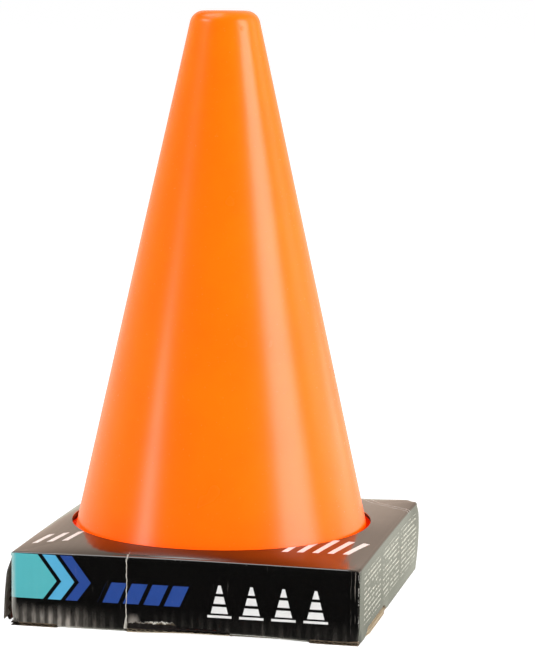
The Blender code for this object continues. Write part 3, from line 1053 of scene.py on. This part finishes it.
def make_tabs(plain_up, paper, kraft):
    """The four corner tabs, their printed side against the side walls."""
    for end_name in ("front", "back"):
        for side_name, side in (("left", -1), ("right", 1)):
            node = f"tab_{end_name}_{side_name}"
            low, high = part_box(node)
            outer = high.x if side > 0 else low.x
            face = Face((outer, 0, 0), (0, side, 0), (0, 0, 1), (side, 0, 0))
            ends = (low.y, high.y) if side > 0 else (-high.y, -low.y)
            shells = board_shells(face, ends, (low.z, high.z), True)
            make_piece(f"{node}_board", shells, [plain_up, paper, kraft], node)


def bottom_shape(along, up):
    """The bottom's front edge is bent up off the table as far as the front wall's foot is."""
    return -foot_bow(along) * swell(-up, *BOTTOM_BEND)


def crept_out(points):
    """Moves the bottom's right edge out a little along its bare stretch."""
    edge = swell(points[..., 0], HALF - 0.006, HALF - 0.001)
    out = CREEP_OUT * edge * span(points[..., 1], *BARE_CREEP, 0.006)
    return points + out[..., None] * np.array([1.0, 0.0, 0.0])


def make_bottom(kraft):
    """The bottom panel of brown board, its raw edge set back under the two bridges."""
    ends = (-HALF, HALF - 1.5 * LINER)
    shells = board_shells(UNDER, ends, (-HALF, HALF), True, bottom_shape, foot=notched, finish=crept_out)
    make_piece("bottom_panel_board", shells, [kraft, kraft, kraft], "bottom_panel")


# Stage, light and camera

def make_floor():
    """A wide matt floor that keeps the object's shadow.

    The camera sees it white. Gloss sees it pale beside and behind the object, and dark in front of it.
    """
    size = FLOOR_REACH
    points = [(-size, -size, 0), (size, -size, 0), (size, size, 0), (-size, size, 0)]
    mesh = bpy.data.meshes.new("floor")
    mesh.from_pydata(points, [], [(0, 1, 2, 3)])
    floor = add_object("floor", mesh)
    material = bpy.data.materials.new("pale_floor")
    s = Shader(material)
    y = s.place()[2]
    glossy, camera = s.seen_by()
    level = s.mix(y.rise(*BEHIND_EDGE), FLOOR_BESIDE, FLOOR_BEHIND)
    level = s.mix(y.rise(*AHEAD_EDGE), FLOOR_AHEAD, level)
    level = s.mix(camera, level, WHITE)
    matt = s.make("ShaderNodeBsdfDiffuse", inputs={0: FLOOR_MATT}).outputs[0]
    white = s.make("ShaderNodeEmission", inputs={0: level, 1: FLOOR_STRENGTH}).outputs[0]
    both = s.make("ShaderNodeMixShader", inputs={0: camera * 0.7 + glossy, 1: matt, 2: white}).outputs[0]
    s.make("ShaderNodeOutputMaterial", inputs={0: both})
    mesh.materials.append(material)


def make_world():
    """White where the camera looks, and a low even light for matt surfaces.

    Gloss sees a pale warm backdrop behind the object, and a dim room in front of it and high on the left.
    """
    world = bpy.data.worlds.new("studio")
    bpy.context.scene.world = world
    s = Shader(world)
    glossy, camera = s.seen_by()
    direction = s.make("ShaderNodeTexCoord").outputs["Generated"]
    parts = s.make("ShaderNodeSeparateXYZ", inputs={0: direction}).outputs
    aside, ahead, above = (Value(s, parts[axis]) for axis in range(3))
    backdrop = ahead.rise(-0.8, 0.6) * (1 - above.rise(0.34, 0.56) * (1 - aside.rise(-0.60, -0.25)))
    tint = s.mix(glossy, ROOM, s.mix(backdrop, DIM_ROOM, BACKDROP))
    tint = s.mix(camera, tint, WHITE)
    sky = s.make("ShaderNodeBackground", inputs={0: tint, 1: 1.0}).outputs[0]
    s.make("ShaderNodeOutputWorld", inputs={0: sky})


def softbox(name, bearing, height, width, tall, radiance, lean=0, dip=0):
    """A light at a bearing from -Y towards +X and at a height, that faces the object, leans and dips."""
    light = bpy.data.lights.new(name, "AREA")
    light.shape = "RECTANGLE"
    light.size, light.size_y = width, tall
    light.energy = radiance * math.pi * width * tall
    lamp = add_object(name, light)
    angle = math.radians(bearing)
    lamp.location = (LAMP_DISTANCE * math.sin(angle), -LAMP_DISTANCE * math.cos(angle), height)
    lamp.rotation_euler = (math.radians(90 - dip), math.radians(lean), angle)
    lamp.visible_camera = False


def make_lights():
    """Softboxes at both sides, cards that fill the right, and a fill and a large overhead on the left."""
    softbox("left_softbox", bearing=-50, height=0.28, width=0.24, tall=0.40, radiance=13.0, lean=-35)
    softbox("right_softbox", bearing=76.5, height=0.80, width=0.86, tall=1.40, radiance=9.0)
    softbox("right_card", bearing=118, height=0.80, width=0.55, tall=1.40, radiance=1.1)
    softbox("low_card", bearing=137, height=0.05, width=0.78, tall=0.20, radiance=2.0)
    softbox("left_fill", bearing=-60, height=1.27, width=0.90, tall=0.32, radiance=13.0, dip=38)
    softbox("left_overhead", bearing=-85, height=4.40, width=3.40, tall=2.80, radiance=3.8, dip=70)


def make_camera():
    """The camera's place, then its turn about Z, its dip below level and its roll about the view."""
    data = bpy.data.cameras.new("camera")
    data.sensor_width = SENSOR
    data.lens = CAMERA_LENS
    camera = add_object("camera", data)
    turn, tilt = Matrix.Rotation(CAMERA_TURN, 4, "Z"), Matrix.Rotation(math.pi / 2 - CAMERA_DIP, 4, "X")
    roll = Matrix.Rotation(CAMERA_ROLL, 4, "Z")
    camera.matrix_world = Matrix.Translation(CAMERA_PLACE) @ turn @ tilt @ roll
    bpy.context.scene.camera = camera


def make_cones():
    """The four cones, all of one plastic."""
    plastic = orange_plastic()
    for number in range(1, 5):
        make_cone(number, plastic)


def make_carton():
    """The carton's papers and prints, then its boards."""
    paper = board_paper("torn_paper", PAPER, PAPER_SHADE, 2400)
    kraft = board_paper("brown_paper", KRAFT, KRAFT_DARK, 1800)
    plain_up = laminate("black_laminate_upright", plain_print, 0)
    plain_across = laminate("black_laminate_level", plain_print, 2)
    make_top_panel(laminate("printed_top", top_print, 0), paper, kraft)
    make_walls(
        laminate("printed_front", front_print, 0), laminate("printed_side", side_print, 2),
        plain_up, plain_across, paper, kraft,
    )
    make_tabs(plain_up, paper, kraft)
    make_bottom(kraft)


make_camera()
make_floor()
make_world()
make_lights()
make_cones()
make_carton()
bpy.context.scene.view_settings.view_transform = "Standard"
